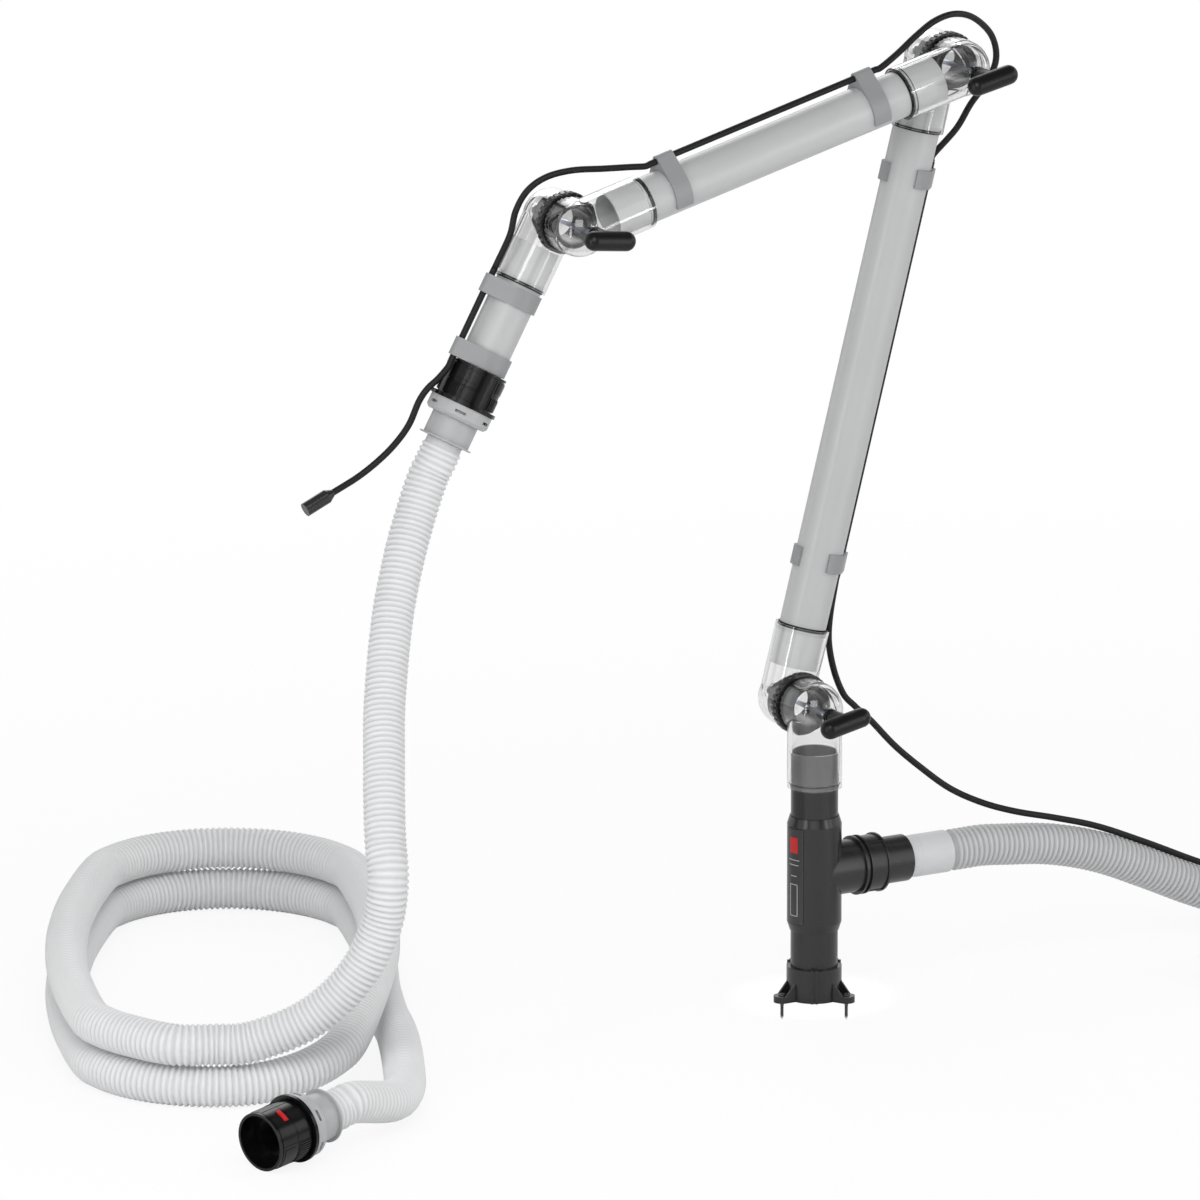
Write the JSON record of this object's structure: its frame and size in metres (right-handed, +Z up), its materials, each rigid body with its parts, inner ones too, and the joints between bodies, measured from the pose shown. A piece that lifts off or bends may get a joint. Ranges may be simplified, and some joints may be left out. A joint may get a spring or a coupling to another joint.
{
  "type": "fume extraction arm",
  "caption": "Bench fume extraction arm: screw-down bracket, tee with side hose, clear swivel elbows with T-handle friction joints, wrist with a coupling, white ribbed hose, cord.",
  "frame": {"origin": "on the bench face, on the post's axis, at the circle of the three bench screws", "axes": "+Z up along the post; +X along the tee's branch; the arm's joints turn about lines along Y"},
  "size_m": [1.7425, 1.1344, 1.0683],
  "materials": {
    "black_plastic": "moulded, satin",
    "zinc_steel": "zinc plated",
    "dark_grey_plastic": "moulded",
    "label_film": "printed film, no wording",
    "grey_sleeve": "moulded, matte",
    "hose_plastic": "translucent, ribbed",
    "grey_plastic": "moulded, satin",
    "clear_plastic": "clear, glossy",
    "seal_rubber": "matte",
    "friction_plastic": "moulded",
    "spring_steel": "blackened",
    "handle_plastic": "matte",
    "tube_finish": "satin light grey",
    "clip_plastic": "moulded, satin",
    "bolt_steel": "plain",
    "cord_jacket": "satin jacket",
    "coupling_plastic": "moulded, satin",
    "button_plastic": "moulded"
  },
  "bodies": {
    "base": {"base_bracket": "black_plastic", "base_screws": "zinc_steel", "base_post": "black_plastic", "blanking_plug": "dark_grey_plastic", "tee_body": "black_plastic", "tee_label": "label_film", "riser_tube": "black_plastic", "spigot_sleeve": "grey_sleeve", "branch_adapter": "black_plastic", "branch_spigot": "black_plastic", "supply_cuff": "hose_plastic", "supply_hose": "hose_plastic", "supply_hose_loop": "hose_plastic", "supply_hose_end": "grey_plastic", "supply_cord": "cord_jacket", "supply_cord_coil": "cord_jacket", "supply_cord_plug": "black_plastic"},
    "collar": {"branch_collar": "black_plastic"},
    "swivel": {"base_elbow": "clear_plastic", "swivel_seal": "seal_rubber", "base_friction_ring": "friction_plastic", "base_springs": "spring_steel", "base_cord_loop": "cord_jacket"},
    "base_grip": {"base_handle": "handle_plastic"},
    "lower_arm": {"lower_elbows": "clear_plastic", "lower_seals": "seal_rubber", "lower_tube": "tube_finish", "lower_clips": "clip_plastic", "lower_friction_discs": "friction_plastic", "lower_bolts": "bolt_steel", "lower_cord": "cord_jacket", "elbow_cord_loop": "cord_jacket"},
    "upper_arm": {"upper_elbows": "clear_plastic", "upper_seals": "seal_rubber", "upper_tube": "tube_finish", "upper_clips": "clip_plastic", "upper_friction_rings": "friction_plastic", "upper_springs": "spring_steel", "upper_cord": "cord_jacket", "wrist_cord_loop": "cord_jacket"},
    "elbow_grip": {"elbow_handle": "handle_plastic"},
    "wrist_grip": {"wrist_handle": "handle_plastic"},
    "wrist": {"wrist_elbow": "clear_plastic", "wrist_seal": "seal_rubber", "wrist_tube": "tube_finish", "wrist_clips": "clip_plastic", "wrist_friction_disc": "friction_plastic", "wrist_bolt": "bolt_steel", "wrist_cord": "cord_jacket", "wrist_coupling": "coupling_plastic", "hose_cuff": "grey_plastic", "hose_drop": "hose_plastic", "hose_coil": "hose_plastic", "free_cuff": "grey_plastic", "free_coupling": "coupling_plastic", "tool_cord": "cord_jacket", "tool_cord_plug": "black_plastic"},
    "wrist_ring": {"bayonet_ring": "grey_plastic"},
    "free_ring_body": {"free_ring": "grey_plastic"},
    "button": {"release_button": "button_plastic"}
  },
  "joints": [
    {"name": "base_turn", "type": "hinge", "parent": "base", "child": "swivel", "pos_m": [0, 0, 0.3143], "axis": [0, 0, 1], "range_deg": [-90, 90], "deforming": ["supply_cord", "hose_drop", "hose_coil"]},
    {"name": "base_tilt", "type": "hinge", "parent": "swivel", "child": "lower_arm", "pos_m": [0, 0, 0.3143], "axis": [0, 1, 0], "range_deg": [-45, 30], "deforming": ["base_cord_loop", "hose_drop", "hose_coil"]},
    {"name": "elbow", "type": "hinge", "parent": "lower_arm", "child": "upper_arm", "pos_m": [0.17687, 0, 0.98849], "axis": [0, 1, 0], "range_deg": [-25, 60], "deforming": ["elbow_cord_loop", "hose_drop", "hose_coil"]},
    {"name": "wrist", "type": "hinge", "parent": "upper_arm", "child": "wrist", "pos_m": [-0.28596, 0, 0.87309], "axis": [0, 1, 0], "range_deg": [-40, 45], "deforming": ["wrist_cord_loop", "hose_drop", "hose_coil"]},
    {"name": "base_handle_turn", "type": "hinge", "parent": "lower_arm", "child": "base_grip", "pos_m": [0, 0, 0.3143], "axis": [0, -1, 0], "range_deg": [-30, 90]},
    {"name": "elbow_handle_turn", "type": "hinge", "parent": "lower_arm", "child": "elbow_grip", "pos_m": [0.17687, 0, 0.98849], "axis": [0, -1, 0], "range_deg": [-30, 90]},
    {"name": "wrist_handle_turn", "type": "hinge", "parent": "wrist", "child": "wrist_grip", "pos_m": [-0.28596, 0, 0.87309], "axis": [0, -1, 0], "range_deg": [-30, 90]},
    {"name": "collar_turn", "type": "hinge", "parent": "base", "child": "collar", "pos_m": [0.06, 0, 0.1376], "axis": [1, 0, 0], "range_deg": [0, 60]},
    {"name": "wrist_ring_turn", "type": "hinge", "parent": "wrist", "child": "wrist_ring", "pos_m": [-0.39725, 0.059, 0.67639], "axis": [-0.4924, 0, -0.8704], "range_deg": [0, 30]},
    {"name": "free_ring_turn", "type": "hinge", "parent": "wrist", "child": "free_ring_body", "pos_m": [-0.77144, -0.26459, 0.03792], "axis": [0.9579, 0.2657, 0.1087], "range_deg": [0, 30]},
    {"name": "button_press", "type": "slide", "parent": "wrist", "child": "button", "axis": [-0.0528, 0.5353, -0.843], "range_m": [0, 0.0011], "stiffness_N_per_m": 800, "springref_m": -0.0005}
  ]
}
